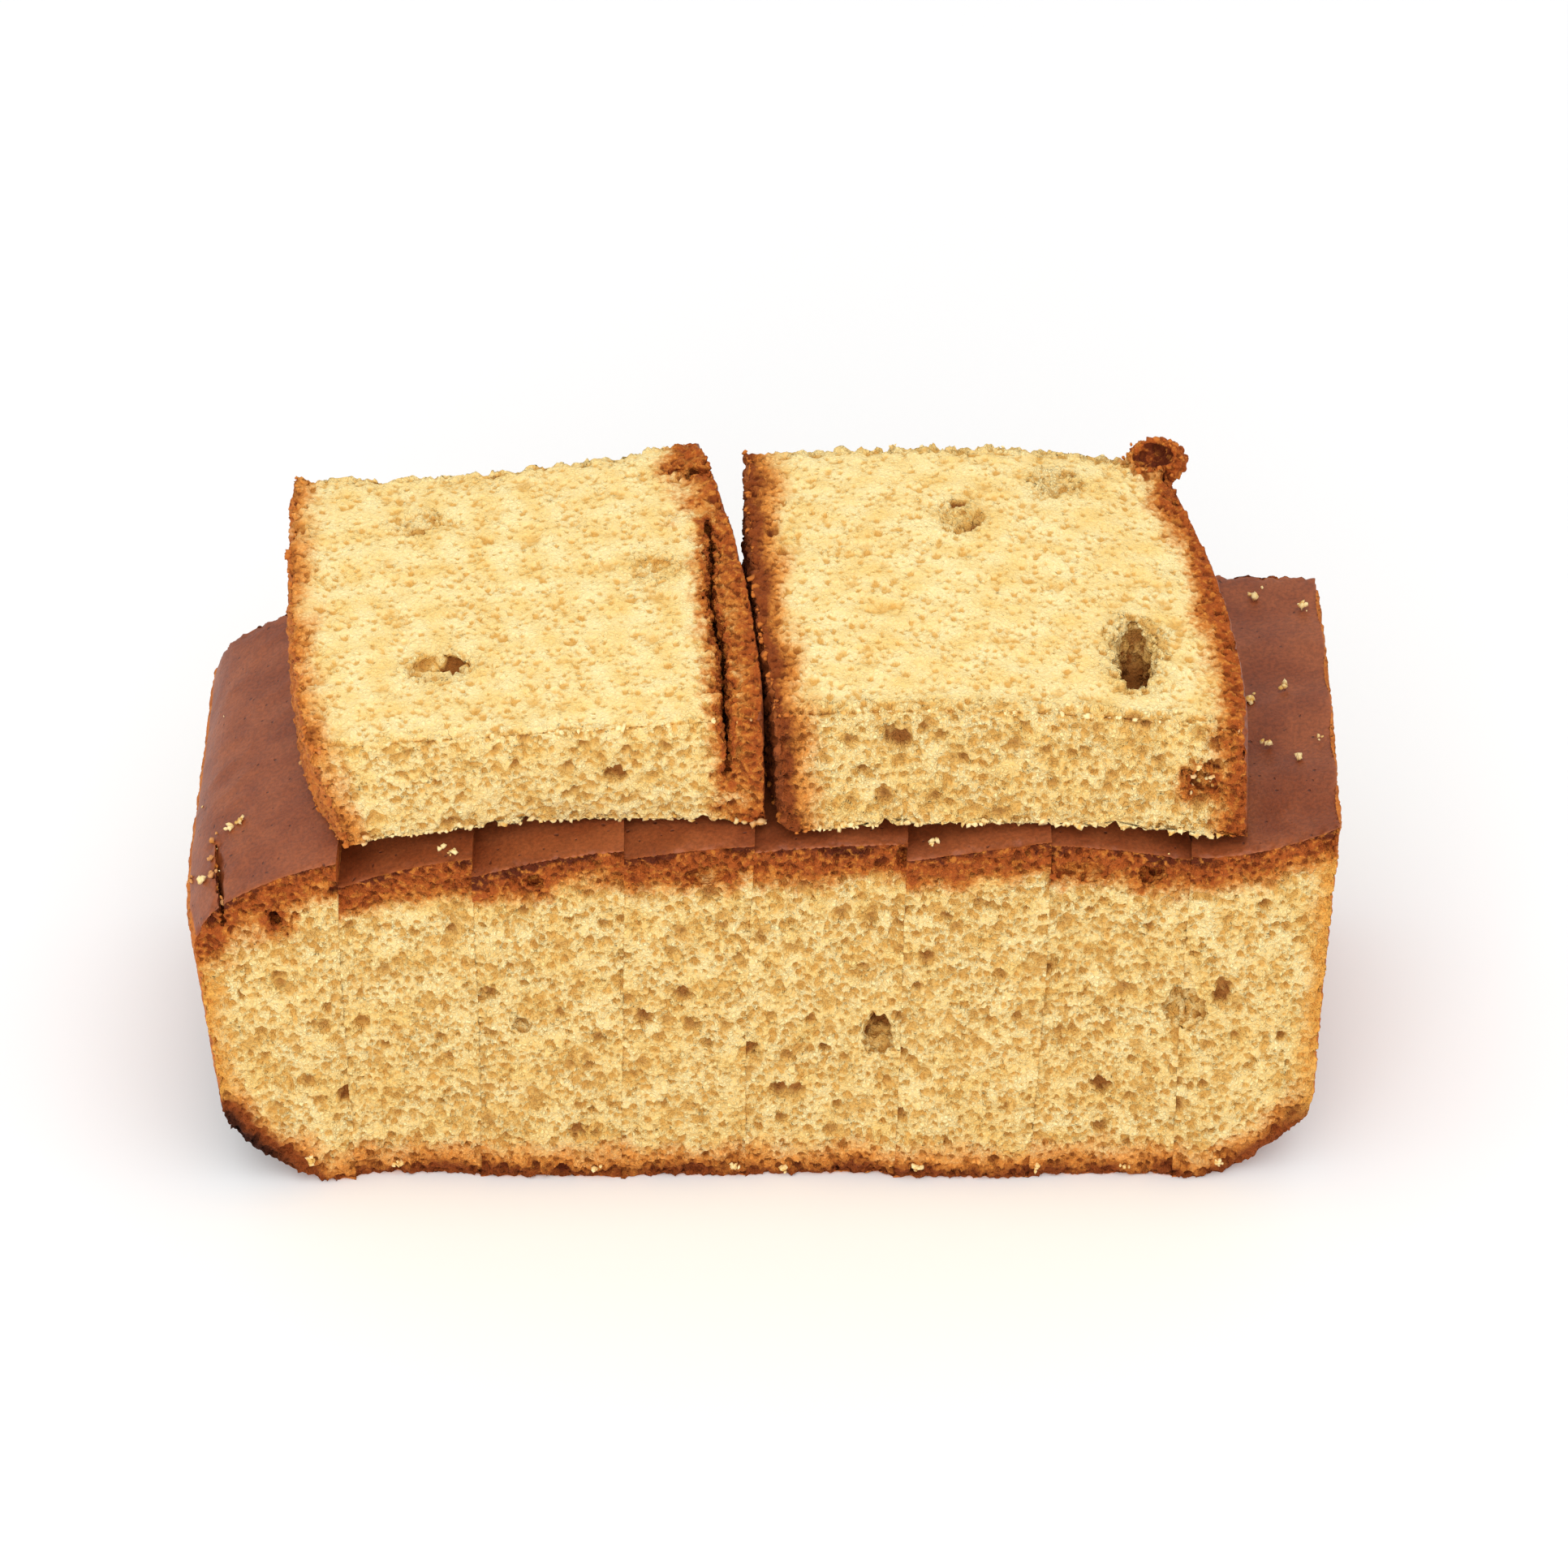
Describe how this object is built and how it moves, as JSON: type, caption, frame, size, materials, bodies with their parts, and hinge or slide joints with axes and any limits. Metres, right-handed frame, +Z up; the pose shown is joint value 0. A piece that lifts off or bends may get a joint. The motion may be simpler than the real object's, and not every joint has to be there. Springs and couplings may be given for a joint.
{
  "type": "butterscotch cake",
  "caption": "Butterscotch sponge bar with a browned crust, cut into slices that stand together as a loaf, with further slices lying flat on top, cut face up.",
  "frame": {"origin": "middle of the bottom of the box around the whole cake", "axes": "+X along the loaf to the right as seen from the front, +Y from the front of the loaf to its back, +Z up"},
  "size_m": [0.1634, 0.0694, 0.0877],
  "materials": {
    "sponge": "matte open yellow crumb with a browned crust on its top and bottom"
  },
  "bodies": {
    "root": {"loaf_slice_1": "sponge", "loaf_slice_2": "sponge", "loaf_slice_3": "sponge", "loaf_slice_4": "sponge", "loaf_slice_5": "sponge", "loaf_slice_6": "sponge", "loaf_slice_7": "sponge", "loaf_slice_8": "sponge", "top_slice_left": "sponge", "top_slice_right": "sponge"}
  },
  "joints": []
}
